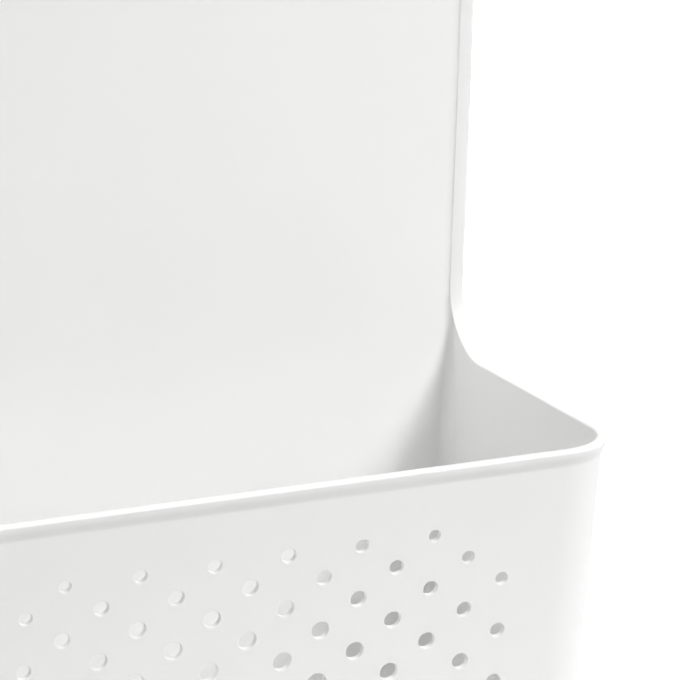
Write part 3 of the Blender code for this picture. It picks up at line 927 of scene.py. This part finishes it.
def strap_path(hook, low, high):
    """Middle line of a strap in side view: its (y, z) points, headings and way walked.

    The line goes straight up, round two right angles, down the tab and out
    along the kick. Each stretch adds its length along the heading, and its
    radius times what the heading's sine gains and its cosine loses.
    """
    half = hook.thickness / 2
    bend = hook.bend + half
    lean = math.tan(hook.kick_angle / 2)
    cut, shift = hook.kick_bend * lean, half * lean
    across = high.y - low.y - hook.kick * math.sin(hook.kick_angle) - hook.thickness
    evenly = even(STRAP_STEPS)[1:]
    end = QUARTER * even(STRAP_END_STEPS)[1:]
    stretches = [
        (high.z - half - bend - low.z, 0.0, 0.0, 1 - np.cos(end)),
        (0.0, -bend, -QUARTER, evenly),
        (across - 2 * bend, 0.0, 0.0, evenly),
        (0.0, -bend, -QUARTER, evenly),
        (hook.tab + half - bend + shift - cut, 0.0, 0.0, evenly),
        (0.0, hook.kick_bend, hook.kick_angle, evenly),
        (hook.kick + shift - cut, 0.0, 0.0, np.sin(end)),
    ]
    points, headings = [np.array([[low.y + half, low.z]])], [np.array([QUARTER])]
    for straight, radius, bent, part in stretches:
        heading = headings[-1][-1]
        angle = heading + bent * part
        y = straight * part * math.cos(heading) + radius * (np.sin(angle) - math.sin(heading))
        z = straight * part * math.sin(heading) + radius * (math.cos(heading) - np.cos(angle))
        points.append(points[-1][-1] + points_of(y, z))
        headings.append(angle)
    points, headings = np.concatenate(points), np.concatenate(headings)
    walked = np.concatenate([[0.0], np.cumsum(np.linalg.norm(np.diff(points, axis=0), axis=1))])
    return points, headings, walked


def cut_in(radius, way):
    """How far a rounded corner cuts in at a way from the end: radius less circle's height."""
    left = np.clip(radius - way, 0, None)
    return radius - np.sqrt(np.clip(radius**2 - left**2, 0, None))


def strap_mesh(name, hook, node):
    """A rounded rectangle carried along the strap's line.

    Near each end the half width follows the corner's circle, and the whole
    section shrinks by the edge's circle.
    """
    low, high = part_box(node)
    points, headings, walked = strap_path(hook, low, high)
    rest = np.minimum(walked, walked[-1] - walked)
    corner, inset = cut_in(hook.corner, rest), cut_in(hook.edge, rest)
    edge = np.clip(hook.edge - inset, LEAST_EDGE * hook.edge, None)[:, None]
    half_width = ((high.x - low.x) / 2 - corner - inset)[:, None] - edge
    half_thick = (hook.thickness / 2 - inset)[:, None] - edge
    quarter = QUARTER * even(STRAP_EDGE_STEPS)
    angle = np.concatenate([quarter + QUARTER * step for step in range(4)])
    sign_x = np.repeat([1.0, -1.0, -1.0, 1.0], len(quarter))
    sign_n = np.repeat([1.0, 1.0, -1.0, -1.0], len(quarter))
    x = (low.x + high.x) / 2 + half_width * sign_x + edge * np.cos(angle)
    off = half_thick * sign_n + edge * np.sin(angle)
    normal = points_of(-np.sin(headings), np.cos(headings))
    side = points[:, None] + off[..., None] * normal[:, None]
    grid = points_of(x, side[..., 0], side[..., 1])
    return tube_mesh(name, grid, caps=(grid[0], grid[-1]))


def turned_mesh(name, profile, centre):
    """Spin a profile of (radius, y) about the Y axis through the centre."""
    spin = full_turn(LATHE_STEPS)
    radius, y = profile[:, :1], profile[:, 1:]
    grid = points_of(centre.x + radius * np.cos(spin), y, centre.z + radius * np.sin(spin))
    mesh = tube_mesh(name, grid)
    place = np.empty(len(mesh.vertices) * 3)
    mesh.vertices.foreach_get("co", place)
    place = place.reshape(-1, 3)
    attribute = mesh.attributes.new(TURNED_RADIUS, "FLOAT", "POINT")
    attribute.data.foreach_set("value", np.hypot(place[:, 0] - centre.x, place[:, 2] - centre.z))
    return mesh


def rounded_profile(corners, radii, steps):
    """Round the corners of an open profile by arcs.

    Each arc starts and ends where it touches the two sides, and its points are
    the corner's centre plus the radius times a direction turned evenly.
    """
    corners = [np.array(corner, float) for corner in corners]
    points = [corners[0][None]]
    for before, corner, after, radius in zip(corners, corners[1:], corners[2:], radii):
        one = (before - corner) / np.linalg.norm(before - corner)
        two = (after - corner) / np.linalg.norm(after - corner)
        opening = math.acos(float(np.clip(one @ two, -1, 1)))
        centre = corner + (one + two) * radius / math.sin(opening)
        start = corner + one * radius / math.tan(opening / 2) - centre
        end = corner + two * radius / math.tan(opening / 2) - centre
        first = math.atan2(start[1], start[0])
        swing = (math.atan2(end[1], end[0]) - first + math.pi) % (2 * math.pi) - math.pi
        angle = first + swing * even(steps)
        points.append(centre + radius * points_of(np.cos(angle), np.sin(angle)))
    points.append(corners[-1][None])
    return np.concatenate(points)


def stud_mesh(name, stud, node, front, back):
    """A shouldered stud: domed head, neck in the keyhole and a peened tail behind the strap.

    front and back are the strap's faces. The neck ends a fine edge's radius
    before the strap, and the tail starts a soft edge's radius within it.
    """
    low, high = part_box(node)
    head = (high.x - low.x) / 2
    bend = QUARTER * even(DOME_STEPS)[:-1]
    crown = points_of(stud.crown * head * np.sin(bend), low.y + stud.dome * (1 - np.cos(bend)))
    corners = [
        crown[-1],
        (head, low.y + stud.rim),
        (head, low.y + stud.head),
        (stud.neck, low.y + stud.head),
        (stud.neck, front - stud.fine_edge),
        (stud.shank, front - stud.fine_edge),
        (stud.shank, back - stud.soft_edge),
        (stud.tail, back - stud.soft_edge),
        (stud.tail_end, back + stud.peen - stud.fine_edge),
        (0.0, back + stud.peen),
    ]
    radii = [stud.soft_edge] * 3 + [stud.fine_edge] * 4 + [stud.soft_edge]
    body = rounded_profile(corners, radii, STUD_EDGE_STEPS)
    return turned_mesh(name, np.concatenate([crown, body[1:]]), node_middle(node))


def bumper_mesh(name, node):
    """A round bumper: a flat foot on the panel, a short flank and a low dome."""
    low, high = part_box(node)
    radius = (high.x - low.x) / 2
    foot, top = back_y(), high.y
    flank = (BUMPER_FLANK[0] * radius, foot + BUMPER_FLANK[1] * (top - foot))
    dome = (BUMPER_DOME[0] * radius, top - BUMPER_DOME[1])
    corners = [(0.0, foot), (radius, foot), flank, dome, (0.0, top)]
    body = rounded_profile(corners, BUMPER_RADII, BUMPER_EDGE_STEPS)
    return turned_mesh(name, body, node_middle(node))


def lining_mesh(name, gap, node, glued):
    """A die-cut foam lining: a rounded outline scaled by a profile that crowns its free face.

    The outline is a circle whose cosine and sine are raised to a small power,
    which makes it nearly a rectangle. glued is the direction of the steel.
    """
    low, high = (np.array(corner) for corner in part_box(node))
    axis = int(np.argmax(np.abs(glued)))
    flat = [item for item in range(3) if item != axis]
    angle = full_turn(ROUND_STEPS)
    circle = points_of(np.cos(angle), np.sin(angle))
    outline = (high - low)[flat] / 2 * np.sign(circle) * np.abs(circle) ** LINING_POWER
    width, rise = np.transpose(LINING_PROFILE)[..., None]
    steel = (high if glued[axis] > 0 else low)[axis] + glued[axis] * gap
    grid = np.empty((len(width), len(angle), 3))
    grid[..., flat] = (low + high)[flat] / 2 + width[..., None] * outline
    grid[..., axis] = steel - glued[axis] * (high[axis] - low[axis] + gap) * rise
    return tube_mesh(name, grid)


# Studio


def pale_light(tree):
    """1 for rays of the camera, of gloss and of clear parts, 0 for all that carry light."""
    path = add_node(tree, "LightPath", {}).outputs
    add = {"operation": "ADD", "use_clamp": True}
    also = add_node(tree, "Math", {0: path["Is Glossy Ray"], 1: path["Is Transmission Ray"]}, **add)
    return add_node(tree, "Math", {0: path["Is Camera Ray"], 1: also.outputs[0]}, **add).outputs[0]


def floor_finish(tone, levels):
    """Pale floor: plain matt colour, with white of its own that lights nothing.

    The white rises smoothly with the way from the middle, so that the far
    floor runs into the white surroundings.
    """
    material, tree, shader = new_material("pale_floor", tone, 0.9)
    set_inputs(tree, shader, {"Specular IOR Level": 0.0})
    way = add_node(tree, "VectorMath", {0: own_place(tree)}, operation="LENGTH")
    inputs = {
        "Value": way.outputs["Value"], "From Min": levels.glow_near, "From Max": levels.glow_far,
        "To Min": levels.glow, "To Max": 1.0,
    }
    rise = add_node(tree, "MapRange", inputs, interpolation_type="SMOOTHSTEP")
    white = add_node(tree, "Emission", {"Strength": rise.outputs["Result"]}).outputs[0]
    nothing = add_node(tree, "Emission", {"Strength": 0.0}).outputs[0]
    choose = add_node(tree, "MixShader", {"Fac": pale_light(tree), 1: nothing, 2: white})
    total = add_node(tree, "AddShader", {0: shader.outputs[0], 1: choose.outputs[0]})
    tree.links.new(total.outputs[0], tree.nodes["Material Output"].inputs["Surface"])
    return material


def add_stage_floor(tone, levels):
    """A round floor: rings of points on circles whose radius grows."""
    spin = full_turn(ROUND_STEPS)
    radius = np.array(FLOOR_RINGS)[:, None]
    grid = points_of(radius * np.cos(spin), radius * np.sin(spin), FLOOR_LEVEL)
    floor = bpy.data.objects.new("studio_floor", tube_mesh("studio_floor", grid, closed=False))
    bpy.context.scene.collection.objects.link(floor)
    floor.data.materials.append(floor_finish(tone, levels))


def add_sky(scene, levels):
    """Even light all round, which the camera sees as white."""
    world = bpy.data.worlds.new("even_light")
    world.use_nodes = True
    scene.world = world
    tree = world.node_tree
    white = {"Color": (1.0, 1.0, 1.0, 1.0)}
    soft = set_inputs(tree, tree.nodes["Background"], {**white, "Strength": levels.sky}).outputs[0]
    seen = add_node(tree, "Background", {**white, "Strength": 1.0}).outputs[0]
    choose = add_node(tree, "MixShader", {"Fac": pale_light(tree), 1: soft, 2: seen})
    tree.links.new(choose.outputs[0], tree.nodes["World Output"].inputs["Surface"])


def add_lamp(levels, name, size, place, aim):
    """A square soft lamp at a place, turned to what it lights.

    Its power, and its spread if it has one, are the levels that go by its name.
    """
    data = bpy.data.lights.new(f"{name}_lamp", "AREA")
    data.energy = getattr(levels, name)
    data.spread = getattr(levels, f"{name}_spread", math.pi)
    data.size = size
    lamp = bpy.data.objects.new(f"{name}_lamp", data)
    lamp.location = place
    lamp.rotation_euler = (Vector(aim) - Vector(place)).to_track_quat("-Z", "Y").to_euler()
    bpy.context.scene.collection.objects.link(lamp)


def add_camera(scene):
    """The camera at the photograph's place, turn and field of view."""
    azimuth, elevation = math.radians(CAMERA_AZIMUTH), math.radians(CAMERA_ELEVATION)
    turned = Euler((QUARTER - elevation, 0.0, -azimuth)).to_matrix().to_4x4()
    data = bpy.data.cameras.new("photo_camera")
    data.sensor_width = CAMERA_SENSOR
    data.lens = CAMERA_LENS
    data.clip_start, data.clip_end = CAMERA_CLIP
    camera = bpy.data.objects.new("photo_camera", data)
    camera.matrix_world = Matrix.Translation(CAMERA_PLACE) @ turned
    scene.collection.objects.link(camera)
    scene.camera = camera


# Operators


class ORGANIZER_OT_moulded_basket(bpy.types.Operator):
    """Build the basket, back panel, lip and holes as one moulding"""

    bl_idname = "organizer.moulded_basket"
    bl_label = "Moulded basket"

    def execute(self, context):
        scene = context.scene
        mesh = basket_mesh(scene.organizer_basket, scene.organizer_holes)
        finish = plastic_finish(scene.organizer_colours.plastic)
        add_piece("moulded_basket", mesh, finish, "basket", "basket_body")
        return {"FINISHED"}


class ORGANIZER_OT_door_hooks(bpy.types.Operator):
    """Build the two bent steel straps that hang over the door"""

    bl_idname = "organizer.door_hooks"
    bl_label = "Door hooks"

    def execute(self, context):
        finish = coated_steel_finish(context.scene.organizer_colours.steel)
        for side in SIDES:
            name, node = f"{side}_strap", f"{side}_door_hook"
            mesh = strap_mesh(name, context.scene.organizer_hooks, node)
            add_piece(name, mesh, finish, f"{side}_hook", node)
        return {"FINISHED"}


class ORGANIZER_OT_shouldered_studs(bpy.types.Operator):
    """Build the four studs that hold the basket on its hooks"""

    bl_idname = "organizer.shouldered_studs"
    bl_label = "Shouldered studs"

    def execute(self, context):
        scene = context.scene
        finish = zinc_finish(scene.organizer_colours.zinc)
        for side in SIDES:
            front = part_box(f"{side}_door_hook")[0].y
            back = front + scene.organizer_hooks.thickness
            for level in STUD_LEVELS:
                name, node = f"{side}_{level}_shouldered_stud", f"{side}_{level}_stud"
                mesh = stud_mesh(name, scene.organizer_studs, node, front, back)
                add_piece(name, mesh, finish, f"{side}_hook", node)
        return {"FINISHED"}


class ORGANIZER_OT_foam_linings(bpy.types.Operator):
    """Build the foam linings between the hooks and the door"""

    bl_idname = "organizer.foam_linings"
    bl_label = "Foam linings"

    def execute(self, context):
        finish = foam_finish(context.scene.organizer_colours.foam)
        gap = context.scene.organizer_hooks.lining_gap
        steel = {"shank": (0, -1, 0), "top": (0, 0, 1), "tab": (0, 1, 0)}
        for side in SIDES:
            for place, glued in steel.items():
                name, node = f"{side}_{place}_lining", f"{side}_{place}_foam"
                mesh = lining_mesh(name, gap, node, glued)
                piece = add_piece(name, mesh, finish, f"{side}_hook", node)
        return {"FINISHED"}


class ORGANIZER_OT_rear_bumpers(bpy.types.Operator):
    """Build the two round bumpers on the back of the basket"""

    bl_idname = "organizer.rear_bumpers"
    bl_label = "Rear bumpers"

    def execute(self, context):
        finish = rubber_finish(context.scene.organizer_colours.rubber)
        for side in SIDES:
            name, node = f"{side}_round_bumper", f"{side}_rear_bumper"
            add_piece(name, bumper_mesh(name, node), finish, "basket", node)
        return {"FINISHED"}


class ORGANIZER_OT_studio(bpy.types.Operator):
    """Build the floor, the lights and the camera"""

    bl_idname = "organizer.studio"
    bl_label = "Studio"

    def execute(self, context):
        scene = context.scene
        levels = scene.organizer_studio
        add_stage_floor(scene.organizer_colours.floor, levels)
        add_sky(scene, levels)
        for name, size, place, aim in LAMPS:
            add_lamp(levels, name, size, place, aim)
        add_camera(scene)
        scene.view_settings.view_transform = "Standard"
        return {"FINISHED"}


class ORGANIZER_PT_build(bpy.types.Panel):
    """Lists the organizer's sizes and pieces"""

    bl_label = "Door organizer"
    bl_space_type = "VIEW_3D"
    bl_region_type = "UI"
    bl_category = "Organizer"

    def draw(self, context):
        layout = self.layout
        for operator in OPERATORS:
            layout.operator(operator.bl_idname)
        for name, group in GROUPS.items():
            box = layout.box()
            box.label(text=group.__name__)
            for item in group.__annotations__:
                box.prop(getattr(context.scene, name), item)


OPERATORS = (
    ORGANIZER_OT_moulded_basket,
    ORGANIZER_OT_door_hooks,
    ORGANIZER_OT_shouldered_studs,
    ORGANIZER_OT_foam_linings,
    ORGANIZER_OT_rear_bumpers,
    ORGANIZER_OT_studio,
)


def register():
    """Register the groups, operators and panel."""
    for name, group in GROUPS.items():
        bpy.utils.register_class(group)
        setattr(bpy.types.Scene, name, PointerProperty(type=group))
    for item in (*OPERATORS, ORGANIZER_PT_build):
        bpy.utils.register_class(item)


def unregister():
    """Take back what register did."""
    for item in (ORGANIZER_PT_build, *reversed(OPERATORS)):
        bpy.utils.unregister_class(item)
    for name, group in reversed(GROUPS.items()):
        delattr(bpy.types.Scene, name)
        bpy.utils.unregister_class(group)


def main():
    """Build every piece in order."""
    register()
    bpy.ops.organizer.moulded_basket()
    bpy.ops.organizer.door_hooks()
    bpy.ops.organizer.shouldered_studs()
    bpy.ops.organizer.foam_linings()
    bpy.ops.organizer.rear_bumpers()
    bpy.ops.organizer.studio()


if __name__ == "__main__":
    main()
